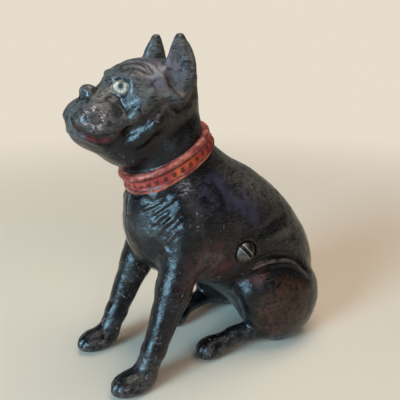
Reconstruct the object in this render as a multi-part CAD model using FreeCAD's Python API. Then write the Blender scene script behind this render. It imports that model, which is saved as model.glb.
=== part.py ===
"""Cast iron still bank in the form of a seated terrier. It is three pieces: a left and a right
hollow casting that meet on the middle plane, and the slotted screw that draws them together.

Millimetres. The dog faces -Y, its left side is +X and the floor is Z = 0. The forms are placed
with Y = 0 near the front of the neck. At the end everything is moved along Y, so that the origin
lies under the middle of the dog.
"""
import FreeCAD, Part
import math
import os

V = FreeCAD.Vector

# ---------------------------------------------------------------- driving dimensions
wall = 3.2               # thickness of the cast shell

# stance, measured out from the middle plane
paw_spread = 15.0        # front paws
shoulder_spread = 12.0   # tops of the front legs
haunch_spread = 16.5     # middle of each thigh
hock_spread = 16.5       # hind heels
hind_toe_spread = 13.0   # hind toes
ear_spread = 8.4         # ears

# head, placed by the middle of the skull
skull_back = -7.2        # Y of the middle of the skull
skull_height = 91.5      # Z of the middle of the skull

# collar: an oval band with a thick roll above and a thin one below, square to the neck
neck_lean = 28.0         # how far the neck leans forward of upright, degrees
collar_back = -2.8       # Y of the middle of the collar
collar_height = 73.2     # Z of the middle of the collar
collar_depth = 16.4      # front-to-back half axis of the band
collar_oval = 0.89       # its half width as a share of that
collar_width = 5.8
upper_roll = 1.05        # radius of the roll along the upper edge
lower_roll = 0.6         # and along the lower edge
roll_rise = 0.5          # how far each roll stands out of the band

# coin slot, on the joint of the two castings and through the back
slot_length = 34.0
slot_width = 4.4
slot_after = 4           # it lies between this station of the torso and the next

# screw: number 8 round head, 32 threads to the inch, one inch under the head
screw_back = 16.0        # Y of its axis
screw_height = 41.0      # Z of its axis
screw_radius = 2.08
screw_length = 25.4      # under the head
screw_pitch = 25.4 / 32
thread_turns = 7.5       # turns of thread that bite in the right casting
tip_chamfer = 0.5
head_radius = 3.95
head_height = 2.7
driver_slot_width = 1.4
driver_slot_depth = 1.5
driver_slot_angle = 127.0  # the driver slot's direction when tight, from +Y towards +Z, degrees
spot_face_clearance = 0.35  # round the head

# screw posts inside the castings
post_radius = 5.2
thread_clearance = 0.05  # on the radius, in the right post
hole_clearance = 0.35    # on the radius, in the left post
post_gap = 0.3           # between the ends of the two posts
hole_spare = 2.0         # depth of the threaded hole past the screw's tip

# locating lugs of the left casting, which reach into the right one
lug_width = 7.0
lug_thick = 2.4
lug_reach = 2.6          # past the joint
lug_root = 6.0           # length along the left casting's wall
lug_clearance = 1.3      # from the wall's inside, which curves in towards the joint
lug_stations = [(3, "belly"), (5, "belly"), (8, "back")]

# the torso's sections in the middle plane: belly Y, Z; back Y, Z; half width
TORSO = [
    (-15.2, 83.0, 3.6, 93.6, 11.0),
    (-16.6, 74.5, 7.4, 87.4, 13.4),
    (-15.9, 65.2, 10.3, 80.0, 13.7),
    (-17.6, 56.5, 19.0, 72.0, 16.2),
    (-17.6, 46.5, 31.0, 65.0, 18.6),
    (-12.0, 36.0, 42.0, 56.5, 20.0),
    (3.0, 27.5, 51.5, 46.0, 20.5),
    (15.0, 20.0, 58.5, 33.5, 20.0),
    (25.0, 11.0, 61.0, 18.5, 17.5),
    (30.5, 3.0, 58.5, 5.5, 13.5),
    (33.0, -1.5, 54.0, -1.5, 10.5),
]

thread_bite = thread_turns * screw_pitch
seat_plane = screw_length - thread_bite              # X of the underside of the screw's head
reach = 300.0                                        # of the blocks that cut along a plane
ring_points = 12                                     # points on each section
dome_angles = [math.radians(40), math.radians(72)]   # sections that round off the end of a limb


# ---------------------------------------------------------------- building blocks
def round_wire(centre, side, front):
    """Closed elliptical wire with the two half axes side and front."""
    points = []
    for i in range(ring_points):
        turn = 2 * math.pi * (i + 0.5) / ring_points
        points.append(centre + side * math.sin(turn) + front * math.cos(turn))
    curve = Part.BSplineCurve()
    curve.interpolate(Points=points, PeriodicFlag=True)
    return Part.Wire([curve.toShape()])


def upright_loft(stations, inset=0.0):
    """Loft through level ovals (X, Y, Z, half width, half depth), drawn in by inset all round."""
    wires = []
    for x, y, z, half_width, half_depth in stations:
        wires.append(round_wire(V(x, y, z), V(half_width - inset, 0, 0), V(0, half_depth - inset, 0)))
    return Part.makeLoft(wires, True, False)


def mass(centre, radii, lean=0.0, turn=0.0, inset=0.0):
    """Ellipsoid with its radii along X, Y and Z, leaned about X and then turned about Z, in degrees."""
    scale = FreeCAD.Matrix()
    scale.scale(V(radii[0] - inset, radii[1] - inset, radii[2] - inset))
    shape = Part.makeSphere(1.0).transformGeometry(scale)
    shape.rotate(V(0, 0, 0), V(1, 0, 0), lean)
    shape.rotate(V(0, 0, 0), V(0, 0, 1), turn)
    shape.translate(V(*centre))
    return shape


def limb(stops):
    """Round bar lofted through stops (X, Y, Z, radius), with a domed end past the first and the last."""
    centres = [V(x, y, z) for x, y, z, radius in stops]
    radii = [radius for x, y, z, radius in stops]
    ways = [(b - a).normalize() for a, b in zip(centres, centres[1:])]
    first, last = ways[0], ways[-1]
    sections = []
    for dome in dome_angles[::-1]:
        sections.append((centres[0] - first * (radii[0] * math.sin(dome)), radii[0] * math.cos(dome), first))
    sections.append((centres[0], radii[0], first))
    for i in range(1, len(stops) - 1):
        sections.append((centres[i], radii[i], (ways[i - 1] + ways[i]).normalize()))
    sections.append((centres[-1], radii[-1], last))
    for dome in dome_angles:
        sections.append((centres[-1] + last * (radii[-1] * math.sin(dome)), radii[-1] * math.cos(dome), last))
    wires = []
    for centre, radius, way in sections:
        across = (V(1, 0, 0) - way * way.x).normalize()
        wires.append(round_wire(centre, across * radius, way.cross(across) * radius))
    return Part.makeLoft(wires, True, False)


def mirrored(shape):
    """The same shape on the other side of the middle plane."""
    return shape.mirror(V(0, 0, 0), V(1, 0, 0))


def rod(radius, low_x, high_x):
    """Round bar on the screw's axis."""
    return Part.makeCylinder(radius, high_x - low_x, V(low_x, screw_back, screw_height), V(1, 0, 0))


def block_on(point, tangent, half_length, low_x, high_x, low_depth, high_depth):
    """Block that follows the outline of the torso: its length along tangent, its depth towards the inside."""
    inward = V(1, 0, 0).cross(tangent)
    corner = point - tangent * half_length + inward * low_depth
    step = inward * (high_depth - low_depth)
    face = Part.Face(Part.makePolygon([
        corner, corner + tangent * (2 * half_length), corner + tangent * (2 * half_length) + step,
        corner + step, corner,
    ]))
    face.translate(V(low_x, 0, 0))
    return face.extrude(V(high_x - low_x, 0, 0))


# ---------------------------------------------------------------- the dog's forms
def torso(inset=0.0):
    """Neck, chest, barrel and rump in one loft, from the throat down to the seat."""
    wires = []
    for belly_y, belly_z, back_y, back_z, half_width in TORSO:
        belly, back = V(0, belly_y, belly_z), V(0, back_y, back_z)
        depth = (back - belly).Length / 2
        along = (back - belly).normalize()
        wires.append(round_wire((belly + back) * 0.5, V(half_width - inset, 0, 0), along * (depth - inset)))
    return Part.makeLoft(wires, True, False)


def outline_point(index, side, inset=0.0):
    """Point of the torso's belly or back outline at one station, inset along the section."""
    belly_y, belly_z, back_y, back_z, half_width = TORSO[index]
    belly, back = V(0, belly_y, belly_z), V(0, back_y, back_z)
    along = (back - belly).normalize()
    return belly + along * inset if side == "belly" else back - along * inset


def outline_tangent(index, side, inset=0.0):
    """Direction of the outline there, which leaves the inside on its left seen from +X."""
    way = (outline_point(index + 1, side, inset) - outline_point(index - 1, side, inset)).normalize()
    return way if side == "belly" else way * -1


def skull(inset=0.0):
    return mass((0, skull_back, skull_height), (14.4, 14.4, 12.6), lean=-8, inset=inset)


def head():
    """Skull, cheeks, brow, muzzle, nose and jaw."""
    y, z = skull_back, skull_height
    return [
        skull(),
        mass((0, y - 5.4, z + 2.2), (11.0, 10.6, 9.8), lean=-20),  # forehead
        mass((7.6, y - 5.6, z - 5.0), (6.4, 8.6, 8.6)),            # cheek
        mass((6.4, y - 9.2, z + 3.8), (5.0, 4.6, 5.0)),            # brow and eyeball
        mass((0, y - 12.0, z + 3.6), (4.6, 4.8, 4.8)),             # forehead between the brows
        mass((0, y - 17.8, z - 5.6), (10.4, 10.0, 7.6), lean=-14),  # muzzle
        mass((5.2, y - 19.3, z - 6.0), (5.6, 8.0, 6.6), lean=-14),  # hanging lip
        mass((0, y - 14.8, z + 0.4), (6.4, 8.0, 4.4)),             # bridge of the nose
        mass((0, y - 21.1, z + 3.0), (3.4, 2.6, 2.5)),             # nose
        mass((0, y - 15.8, z - 11.2), (8.4, 12.0, 5.2), lean=-18),  # lower jaw
        mass((0, y - 8.3, z - 13.0), (10.5, 10.0, 8.0)),           # throat
        limb([                                                     # fold of the jowl
            (7.5, y - 13.5, z - 12.0, 2.0),
            (10.0, y - 9.6, z - 9.9, 2.3),
            (12.7, y - 6.1, z - 5.3, 2.2),
            (12.4, y - 4.2, z - 2.0, 1.8),
        ]),
    ]


def ear():
    """Pricked ear: an upright leaf, hollowed from the front."""
    y, z = skull_back, skull_height
    leaf = upright_loft([
        (ear_spread - 0.2, y + 4.8, z + 1.0, 4.2, 5.6),
        (ear_spread + 0.4, y + 4.9, z + 7.0, 3.8, 5.5),
        (ear_spread + 0.2, y + 5.2, z + 12.5, 2.9, 4.4),
        (ear_spread - 0.6, y + 5.6, z + 16.8, 1.7, 2.6),
        (ear_spread - 1.0, y + 5.8, z + 19.5, 0.7, 1.0),
    ])
    hollow = mass((ear_spread + 4.4, y + 2.4, z + 9.4), (4.3, 2.3, 8.2), lean=19, turn=-120)
    return leaf.cut(hollow)


def front_leg():
    leg = limb([
        (shoulder_spread, -2.0, 48.0, 8.0),
        (paw_spread - 1.2, -8.8, 31.0, 5.8),
        (paw_spread, -17.0, 13.0, 3.9),
        (paw_spread, -20.2, 6.5, 3.9),
    ])
    paw = mass((paw_spread, -25.0, 3.6), (5.0, 7.8, 4.1), lean=4)
    shoulder = mass((shoulder_spread + 1.0, 2.0, 50.0), (7.2, 11.0, 14.0), lean=20)
    return [leg, paw, shoulder]


def thigh(inset=0.0):
    return mass((haunch_spread, 36.5, 16.6), (9.6, 16.4, 16.8), inset=inset)


def hind_leg():
    knee = mass((haunch_spread + 0.4, 27.5, 23.5), (8.2, 12.0, 8.4), lean=-16)
    shin = limb([
        (haunch_spread + 0.6, 21.0, 24.5, 5.0),
        (hock_spread, 26.0, 8.5, 4.4),
    ])
    foot = limb([
        (hock_spread, 27.0, 7.4, 4.2),
        (hind_toe_spread + 1.6, 15.0, 6.6, 3.1),
        (hind_toe_spread + 0.5, 9.0, 4.4, 3.6),
    ])
    toes = mass((hind_toe_spread, 6.6, 3.8), (4.4, 5.8, 4.2))
    return [knee, shin, foot, toes, thigh()]


def tail():
    return limb([(0, 55.0, 10.0, 5.0), (0, 60.0, 5.5, 3.4)])


def collar():
    """Band with its two rolls, turned round the neck's own axis and made oval."""
    half = collar_width / 2
    inner = Part.makeCylinder(collar_depth - wall, collar_width, V(0, 0, -half))
    band = Part.makeCylinder(collar_depth, collar_width, V(0, 0, -half)).cut(inner)
    upper = Part.makeTorus(collar_depth + roll_rise - upper_roll, upper_roll, V(0, 0, half - upper_roll + 0.2))
    lower = Part.makeTorus(collar_depth + roll_rise - lower_roll, lower_roll, V(0, 0, lower_roll - 0.2 - half))
    strap = band.fuse([upper, lower])
    narrow = FreeCAD.Matrix()
    narrow.scale(V(collar_oval, 1, 1))
    strap = strap.transformGeometry(narrow)
    strap.rotate(V(0, 0, 0), V(1, 0, 0), neck_lean)
    strap.translate(V(0, collar_back, collar_height))
    return strap


# ---------------------------------------------------------------- the castings
def solid_half():
    """Left half of the dog before it is hollowed, with its underside ground level."""
    forms = head() + [ear(), collar()] + front_leg() + hind_leg() + [tail()]
    dog = torso().fuse(forms)
    return dog.common(Part.makeBox(reach, reach, reach, V(0, -reach / 2, 0)))


def coin_room():
    """The space inside both castings, with a floor as thick as the wall."""
    muzzle_pocket = mass((0, skull_back - 15.2, skull_height - 5.2), (10.4, 12.6, 7.5), lean=-14, inset=wall)
    thigh_pocket = thigh(inset=wall)
    room = torso(inset=wall).fuse([skull(inset=wall), muzzle_pocket, thigh_pocket, mirrored(thigh_pocket)])
    return room.common(Part.makeBox(reach, reach, reach, V(-reach / 2, -reach / 2, wall)))


def coin_slot():
    """The slot's space, half in each casting."""
    ahead = outline_point(slot_after, "back")
    behind = outline_point(slot_after + 1, "back")
    tangent = (ahead - behind).normalize()
    middle = (ahead + behind) * 0.5
    return block_on(middle, tangent, slot_length / 2, -slot_width / 2, slot_width / 2, -3 * wall, 3 * wall)


def lug(index, side):
    """Tongue on the left casting's wall. Past the joint it stands clear of the right casting's wall."""
    point = outline_point(index, side, wall)
    tangent = outline_tangent(index, side, wall)
    inner = lug_clearance + lug_thick
    root = block_on(point, tangent, lug_width / 2, 0, lug_root, -wall / 2, inner)
    tongue = block_on(point, tangent, lug_width / 2, -lug_reach, lug_root, lug_clearance, inner)
    return root.fuse(tongue)


def left_casting(half, room):
    """Shell with the plain screw post, the spot face for the screw's head and the lugs."""
    post = rod(post_radius, post_gap, reach / 4).common(half)
    shell = half.cut(room).fuse([post] + [lug(index, side) for index, side in lug_stations])
    return shell.cut([
        rod(screw_radius + hole_clearance, -1, reach / 4),
        rod(head_radius + spot_face_clearance, seat_plane, reach / 4),
        coin_slot(),
    ])


def right_casting(half, room):
    """Shell with the threaded post, which stops short of the outside."""
    post = rod(post_radius, -reach / 4, 0).common(half)
    hole = rod(screw_radius + thread_clearance, -thread_bite - hole_spare, 1)
    return half.cut(room).fuse(post).cut([hole, coin_slot()])


def screw():
    """Round-head screw with its head against the seat plane and a driver slot across the head."""
    shank = rod(screw_radius, -thread_bite, seat_plane)
    shank = shank.makeChamfer(tip_chamfer, [e for e in shank.Edges if e.CenterOfMass.x < -thread_bite + 0.01])
    dome_radius = (head_radius ** 2 + head_height ** 2) / (2 * head_height)
    centre = V(seat_plane + head_height - dome_radius, screw_back, screw_height)
    dome = Part.makeSphere(dome_radius, centre).common(rod(dome_radius, seat_plane, seat_plane + head_height))
    slot = Part.makeBox(
        2 * driver_slot_depth, 4 * head_radius, driver_slot_width,
        V(seat_plane + head_height - driver_slot_depth, screw_back - 2 * head_radius,
          screw_height - driver_slot_width / 2),
    )
    slot.rotate(V(0, screw_back, screw_height), V(1, 0, 0), driver_slot_angle)
    return shank.fuse(dome).cut(slot)


def main():
    half = solid_half()
    room = coin_room()
    pieces = {
        "left_casting": left_casting(half, room),
        "right_casting": right_casting(mirrored(half), room),
        "screw": screw(),
    }
    depths = [point.y for point in half.tessellate(0.05)[0]]
    under_middle = V(0, -(min(depths) + max(depths)) / 2, 0)
    os.makedirs("parts", exist_ok=True)
    for name, shape in pieces.items():
        shape.translate(under_middle)
        shape.exportStep("parts/" + name + ".step")
        print(name, len(shape.Solids), "solid", len(shape.Faces), "faces", round(shape.Volume), "mm3",
              "valid" if shape.isValid() else "INVALID")
    print("moved along Y by", round(under_middle.y, 3))


main()
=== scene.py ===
"""The looks of a cast iron still bank: a seated terrier in two hollow castings and one screw."""
import math

import bpy
import numpy as np
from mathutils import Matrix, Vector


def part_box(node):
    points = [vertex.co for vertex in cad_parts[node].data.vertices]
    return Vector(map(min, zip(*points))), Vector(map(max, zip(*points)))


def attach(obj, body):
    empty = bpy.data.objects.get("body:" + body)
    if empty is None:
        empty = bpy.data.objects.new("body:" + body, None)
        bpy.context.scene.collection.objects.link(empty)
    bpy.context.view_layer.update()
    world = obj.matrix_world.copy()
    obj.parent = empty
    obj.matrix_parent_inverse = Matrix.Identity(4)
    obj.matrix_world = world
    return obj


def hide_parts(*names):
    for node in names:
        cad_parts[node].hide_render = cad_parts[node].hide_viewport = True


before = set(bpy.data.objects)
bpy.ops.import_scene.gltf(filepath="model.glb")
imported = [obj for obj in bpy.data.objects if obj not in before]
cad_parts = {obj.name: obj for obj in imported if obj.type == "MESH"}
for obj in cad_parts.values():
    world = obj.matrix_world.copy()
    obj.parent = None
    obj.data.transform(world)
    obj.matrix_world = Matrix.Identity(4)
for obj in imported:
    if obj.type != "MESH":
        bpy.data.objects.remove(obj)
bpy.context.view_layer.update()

import openvdb
from mathutils import Matrix, Vector

# ---------------- where things are
# Lengths are millimetres in the dog's own frame: -Y is ahead, +X is its left, Z = 0 is the floor.
SCREW_BACK, SCREW_HEIGHT, SCREW_RADIUS, SCREW_PITCH = 16.0, 41.0, 2.08, 25.4 / 32
HEAD_RADIUS, HEAD_HEIGHT = 3.95, 2.7
DRIVER_SLOT_WIDTH, DRIVER_SLOT_DEPTH, DRIVER_SLOT_TURN = 1.4, 1.5, 127.0
screw_low, screw_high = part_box("screw")
SHIFT = (screw_low[1] + screw_high[1]) * 500 - SCREW_BACK  # to the CAD's frame, along Y
SEAT_PLANE = screw_high[0] * 1000 - HEAD_HEIGHT            # X under the screw's head
TIP = screw_low[0] * 1000

WALL = 3.2  # of the castings
POST_RADIUS, POST_GAP = 5.2, 0.3
HOLE_CLEARANCE, THREAD_CLEARANCE, HOLE_SPARE = 0.35, 0.05, 2.0
COIN_SLOT_LENGTH, COIN_SLOT_WIDTH, COIN_SLOT_DEPTH = 34.0, 4.4, 9.6
LUG_STATIONS = ((3, "belly"), (5, "belly"), (8, "back"))
LUG_WIDTH, LUG_THICK, LUG_REACH, LUG_ROOT, LUG_CLEARANCE = 7.0, 2.4, 2.6, 6.0, 1.3

HALF_BLOCK = (-3.6, -38.0, -1.2), (28.0, 66.0, 113.0)  # corners of the clay for half a dog
HEAD_BLOCK = (-3.5, -42, 62), (24, 16, 112)
STEP = 0.42  # spacing of the clay's samples
FAR, MARGIN = 9.0, 4.0  # the deepest depth kept, and the clay looked at round a form
JOINT_GAP, FLOOR_GAP = 0.03, 0.02
CHUNK = 20000  # points worked on at a time

TORSO = np.array([  # belly Y, Z; back Y, Z; half width
    (-15.2, 83.0, 3.6, 93.6, 11.0),
    (-16.6, 74.5, 7.4, 87.4, 13.4),
    (-15.9, 65.2, 10.3, 80.0, 13.7),
    (-17.6, 56.5, 19.0, 72.0, 16.2),
    (-17.6, 46.5, 31.0, 65.0, 18.6),
    (-12.0, 36.0, 42.0, 56.5, 20.0),
    (3.0, 27.5, 51.5, 46.0, 20.5),
    (15.0, 20.0, 58.5, 33.5, 20.0),
    (25.0, 11.0, 61.0, 18.5, 17.5),
    (30.5, 3.0, 58.5, 5.5, 13.5),
    (33.0, -1.5, 54.0, -1.5, 10.5),
])

# collar: a band square to the leaning neck, oval, with a thick roll above and a thin one below
COLLAR = np.array([0.0, -2.8, 73.2])
NECK_LEAN = math.radians(28.0)
NECK_AXIS = np.array([0.0, -math.sin(NECK_LEAN), math.cos(NECK_LEAN)])
NECK_FRONT = np.array([0.0, math.cos(NECK_LEAN), math.sin(NECK_LEAN)])
COLLAR_DEPTH, COLLAR_OVAL = 16.4, 0.89
STUDS = 34


def unit(way):
    return np.array(way, float) / np.linalg.norm(way)


# eye: an almond on the brow, with its own directions outwards, up and along
EYE = np.array([6.5, -21.1, 96.2])
EYE_OUT = unit([0.40, -0.90, 0.16])
EYE_UP = unit(np.array([0.0, 0.0, 1.0]) - EYE_OUT * EYE_OUT[2])
EYE_ALONG = np.cross(EYE_OUT, EYE_UP)
EYE_SIZE = (3.1, 2.15)

CURVE_SPACING = 0.5


# ---------------- clay: a block of distances
def soft_min(a, b, blend):
    """Union of two distance fields, rounded over where they are within blend of each other."""
    if blend <= 0:
        return np.minimum(a, b)
    share = np.clip(0.5 + 0.5 * (b - a) / blend, 0, 1)
    return b * (1 - share) + a * share - blend * share * (1 - share)


def soft_max(a, b, blend):
    return -soft_min(-a, -b, blend)


def smooth_step(value, low, high):
    t = np.clip((value - low) / (high - low), 0, 1)
    return t * t * (3 - 2 * t)


def spline(points, i, t):
    """The smooth curve through the rows of points, at share t of the way from row i to the next."""
    a, b, c, d = np.vstack([2 * points[0] - points[1], points, 2 * points[-1] - points[-2]])[i:i + 4]
    return 0.5 * (2 * b + (c - a) * t + (2 * a - 5 * b + 4 * c - d) * t ** 2
                  + (3 * b - a - 3 * c + d) * t ** 3)


def curve_through(points):
    """Samples of the smooth curve through the points, about CURVE_SPACING apart."""
    points = np.array(points, float)
    samples = []
    for i in range(len(points) - 1):
        count = max(2, int(np.linalg.norm(points[i + 1] - points[i]) / CURVE_SPACING))
        samples.append(spline(points, i, np.linspace(0, 1, count, endpoint=False)[:, None]))
    return np.vstack(samples + [points[-1:]])


class Clay:
    """Signed distances on a grid: below zero is iron."""

    def __init__(self, low, high, step=STEP):
        self.low = np.array(low, float)
        self.step = step
        self.count = np.ceil((np.array(high) - self.low) / step).astype(int) + 1
        self.axes = [(self.low[i] + step * np.arange(self.count[i])).astype(np.float32) for i in range(3)]
        self.depth = np.full(self.count, FAR, np.float32)

    def window(self, low, high):
        """The part of the grid between two corners, and its coordinates."""
        first = np.clip(np.floor((np.array(low) - self.low) / self.step), 0, self.count - 1).astype(int)
        last = np.clip(np.ceil((np.array(high) - self.low) / self.step) + 1, 1, self.count).astype(int)
        cut = tuple(slice(a, b) for a, b in zip(first, last))
        return cut, *np.ix_(*(axis[c] for axis, c in zip(self.axes, cut)))

    def blend_in(self, form, blend, join, sign):
        """Join the form's distances, times sign, to the clay round it."""
        low, high, distance = form
        pad = MARGIN + blend
        cut, x, y, z = self.window(np.array(low) - pad, np.array(high) + pad)
        self.depth[cut] = join(self.depth[cut], sign * distance(x, y, z), blend)

    def add(self, form, blend=0.0):
        self.blend_in(form, blend, soft_min, 1)

    def cut(self, form, blend=0.0):
        self.blend_in(form, blend, soft_max, -1)

    def sample(self, points, field=None):
        """Value of the field at points, by straight interpolation."""
        field = self.depth if field is None else field
        at = (np.asarray(points) - self.low) / self.step
        base = np.clip(np.floor(at).astype(int), 0, self.count - 2)
        part = np.clip(at - base, 0, 1)
        total = np.zeros(len(at))
        for i in (0, 1):
            for j in (0, 1):
                for k in (0, 1):
                    weight = np.where((i, j, k), part, 1 - part).prod(1)
                    total += weight * field[tuple((base + (i, j, k)).T)]
        return total

    def slope(self, points, reach=0.8):
        points = np.asarray(points, float)
        steps = np.eye(3) * reach
        return np.stack([(self.sample(points + s) - self.sample(points - s)) / (2 * reach) for s in steps], 1)

    def on_surface(self, points):
        """The points moved along the slope to the surface."""
        points = np.array(points, float)
        for _ in range(6):
            slope = self.slope(points)
            size = np.maximum((slope ** 2).sum(1), 0.05)
            move = self.sample(points)[:, None] * slope / size[:, None]
            points = points - np.clip(move, -1.5, 1.5)
        return points

    def stroke(self, points, width, depth, taper=0.25):
        """A fold along a line on the surface: a groove, or with depth below zero a ridge."""
        line = self.on_surface(curve_through(points))
        along = np.linspace(0, 1, len(line))
        strength = smooth_step(np.minimum(along, 1 - along), 0, taper) if taper else np.ones(len(line))
        reach = 2.6 * width
        cut, x, y, z = self.window(line.min(0) - reach, line.max(0) + reach)
        nearest = np.full(self.depth[cut].shape, 1e9, np.float32)
        power = np.zeros(nearest.shape, np.float32)
        for point, share in zip(line, strength):
            square = (x - point[0]) ** 2 + (y - point[1]) ** 2 + (z - point[2]) ** 2
            closer = square < nearest
            nearest = np.where(closer, square, nearest)
            power = np.where(closer, share, power)
        self.depth[cut] += (depth * power * np.exp(-nearest / width ** 2)).astype(np.float32)

    def dab(self, point, width, depth):
        """A round dimple or, with depth below zero, a round bump."""
        point = self.on_surface([point])[0]
        cut, x, y, z = self.window(point - 3 * width, point + 3 * width)
        square = (x - point[0]) ** 2 + (y - point[1]) ** 2 + (z - point[2]) ** 2
        self.depth[cut] += (depth * np.exp(-square / width ** 2)).astype(np.float32)

    def blurred(self):
        """The field, softened over its nearest samples."""
        field = self.depth
        for axis in (0, 1, 2) * 3:
            field = (np.roll(field, 1, axis) + 2 * field + np.roll(field, -1, axis)) / 4
        return field

    def skin(self):
        """Points and four-sided faces of the surface."""
        grid = openvdb.FloatGrid(FAR)
        grid.copyFromArray(np.clip(self.depth, -FAR, FAR))
        points, quads = grid.convertToQuads(isovalue=0.0)
        return points * self.step + self.low, np.asarray(quads)


# ---------------- forms, each (low, high, distance)
def mass(centre, radii, lean=0.0, turn=0.0, inset=0.0):
    """Ellipsoid leaned about X and then turned about Z, in degrees."""
    centre = np.array(centre, float)
    radii = np.array(radii, float) - inset
    a, b = math.radians(lean), math.radians(turn)

    def distance(x, y, z):
        x, y, z = x - centre[0], y - centre[1], z - centre[2]
        x, y = x * math.cos(b) + y * math.sin(b), y * math.cos(b) - x * math.sin(b)
        y, z = y * math.cos(a) + z * math.sin(a), z * math.cos(a) - y * math.sin(a)
        size = np.sqrt((x / radii[0]) ** 2 + (y / radii[1]) ** 2 + (z / radii[2]) ** 2)
        slope = np.sqrt((x / radii[0] ** 2) ** 2 + (y / radii[1] ** 2) ** 2 + (z / radii[2] ** 2) ** 2)
        return size * (size - 1) / np.maximum(slope, 1e-4)

    reach = radii.max()
    return centre - reach, centre + reach, distance


def limb(stops, blend=1.5):
    """Round bar through stops (X, Y, Z, radius) with domed ends."""
    stops = np.array(stops, float)

    def distance(x, y, z):
        total = None
        for a, b in zip(stops, stops[1:]):
            way = b[:3] - a[:3]
            t = ((x - a[0]) * way[0] + (y - a[1]) * way[1] + (z - a[2]) * way[2]) / (way @ way)
            t = np.clip(t, 0, 1)
            gap = np.sqrt((x - a[0] - t * way[0]) ** 2 + (y - a[1] - t * way[1]) ** 2
                          + (z - a[2] - t * way[2]) ** 2) - (a[3] + t * (b[3] - a[3]))
            total = gap if total is None else soft_min(total, gap, blend)
        return total

    return (stops[:, :3] - stops[:, 3:]).min(0), (stops[:, :3] + stops[:, 3:]).max(0), distance


def column(stations):
    """Upright loft through level ovals (X, Y, Z, half width, half depth)."""
    stations = np.array(stations, float)
    low, high = stations[0, 2], stations[-1, 2]

    def distance(x, y, z):
        level = np.clip(z, low, high)
        cx, cy, hx, hy = (np.interp(level, stations[:, 2], stations[:, i]) for i in (0, 1, 3, 4))
        u, v = (x - cx) / hx, (y - cy) / hy
        size = np.sqrt(u * u + v * v)
        slope = np.sqrt((u / hx) ** 2 + (v / hy) ** 2) / np.maximum(size, 1e-3)
        side = (size - 1) / np.maximum(slope, 0.08)
        return np.maximum(side, np.maximum(z - high, low - z))

    reach = stations[:, 3:5].max()
    return (stations[:, :3].min(0) - reach, stations[:, :3].max(0) + reach, distance)


def round_bar(radius, low_x, high_x):
    """Cylinder on the screw's axis."""
    def distance(x, y, z):
        side = np.sqrt((y - SCREW_BACK) ** 2 + (z - SCREW_HEIGHT) ** 2) - radius
        return np.maximum(side, np.maximum(low_x - x, x - high_x))

    return ((low_x, SCREW_BACK - radius, SCREW_HEIGHT - radius),
            (high_x, SCREW_BACK + radius, SCREW_HEIGHT + radius), distance)


def outline(index, side, inset=0.0):
    """Point of the torso's belly or back line at one station."""
    belly, back = TORSO[index, 0:2], TORSO[index, 2:4]
    along = unit(back - belly)
    return belly + along * inset if side == "belly" else back - along * inset


def block_on(point, tangent, half_length, low_x, high_x, low_depth, high_depth):
    """Block in the torso's outline: its length along the tangent (Y, Z), its depth towards the inside."""
    tangent = unit(tangent)
    inward = np.array([-tangent[1], tangent[0]])

    def distance(x, y, z):
        u = (y - point[0]) * tangent[0] + (z - point[1]) * tangent[1]
        v = (y - point[0]) * inward[0] + (z - point[1]) * inward[1]
        flat = np.maximum(np.abs(u) - half_length, np.maximum(low_depth - v, v - high_depth))
        return np.maximum(flat, np.maximum(low_x - x, x - high_x))

    reach = half_length + abs(low_depth) + abs(high_depth)
    return (low_x, *(point - reach)), (high_x, *(point + reach)), distance


def torso_form():
    """The loft from the throat to the seat, found section by section."""
    rows = []
    for s in np.linspace(0, len(TORSO) - 1, 500):
        i = min(int(s), len(TORSO) - 2)
        rows.append(spline(TORSO, i, s - i))
    rows = np.array(rows)
    last = len(rows) - 1
    middle = (rows[:, 0:2] + rows[:, 2:4]) / 2
    half = np.linalg.norm(rows[:, 2:4] - rows[:, 0:2], axis=1) / 2
    along = (rows[:, 2:4] - rows[:, 0:2]) / (2 * half[:, None])

    def distance(x, y, z):
        grid_y, grid_z = np.meshgrid(y.ravel(), z.ravel(), indexing="ij")
        flat = np.stack([grid_y.ravel(), grid_z.ravel()], 1)
        best, wide, deep, beyond = np.empty((4, len(flat)))
        for start in range(0, len(flat), CHUNK):
            chunk = slice(start, start + CHUNK)
            part = flat[chunk]
            gap = part[:, None, :] - middle[None]
            run = (gap * along[None]).sum(2)
            off = gap[..., 0] * along[None, :, 1] - gap[..., 1] * along[None, :, 0]
            cost = np.abs(off) + 4 * np.maximum(np.abs(run) / half[None] - 1.35, 0) * half[None]
            k = cost.argmin(1)
            row = np.arange(len(part))
            # settle between the two nearest sections
            ahead = off[row, k] * off[row, np.minimum(k + 1, last)] < 0
            other = np.clip(k + np.where(ahead, 1, -1), 0, last)
            crossing = off[row, k] * off[row, other] < 0
            span = np.abs(off[row, k]) + np.abs(off[row, other])
            t = np.where(crossing, np.abs(off[row, k]) / np.maximum(span, 1e-9), 0)
            best[chunk] = run[row, k] * (1 - t) + run[row, other] * t
            wide[chunk], deep[chunk] = (table[k] * (1 - t) + table[other] * t for table in (rows[:, 4], half))
            beyond[chunk] = np.where((k == 0) & ~crossing, np.abs(off[row, k]), -99)
        shape = (len(y.ravel()), len(z.ravel()))
        u = (best / deep).reshape(shape)[None].astype(np.float32)
        wide, deep, beyond = (a.reshape(shape)[None].astype(np.float32) for a in (wide, deep, beyond))
        v = x / wide
        size = np.sqrt(u * u + v * v)
        slope = np.sqrt((u / deep) ** 2 + (v / wide) ** 2) / np.maximum(size, 1e-3)
        return np.maximum((size - 1) / np.maximum(slope, 0.03), beyond)

    return (-21, -19, -2), (21, 62, 95), distance


# ---------------- the dog
SKULL, SKULL_RADII = np.array([0.0, -7.2, 91.5]), (14.4, 14.4, 12.6)
EAR_SPREAD = 8.4
HAUNCH, HOCK, HIND_TOE = 16.5, 16.5, 13.0
PAW, SHOULDER = 15.0, 12.0
THIGH, THIGH_RADII = (HAUNCH, 36.5, 16.6), (9.6, 16.4, 16.8)


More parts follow.
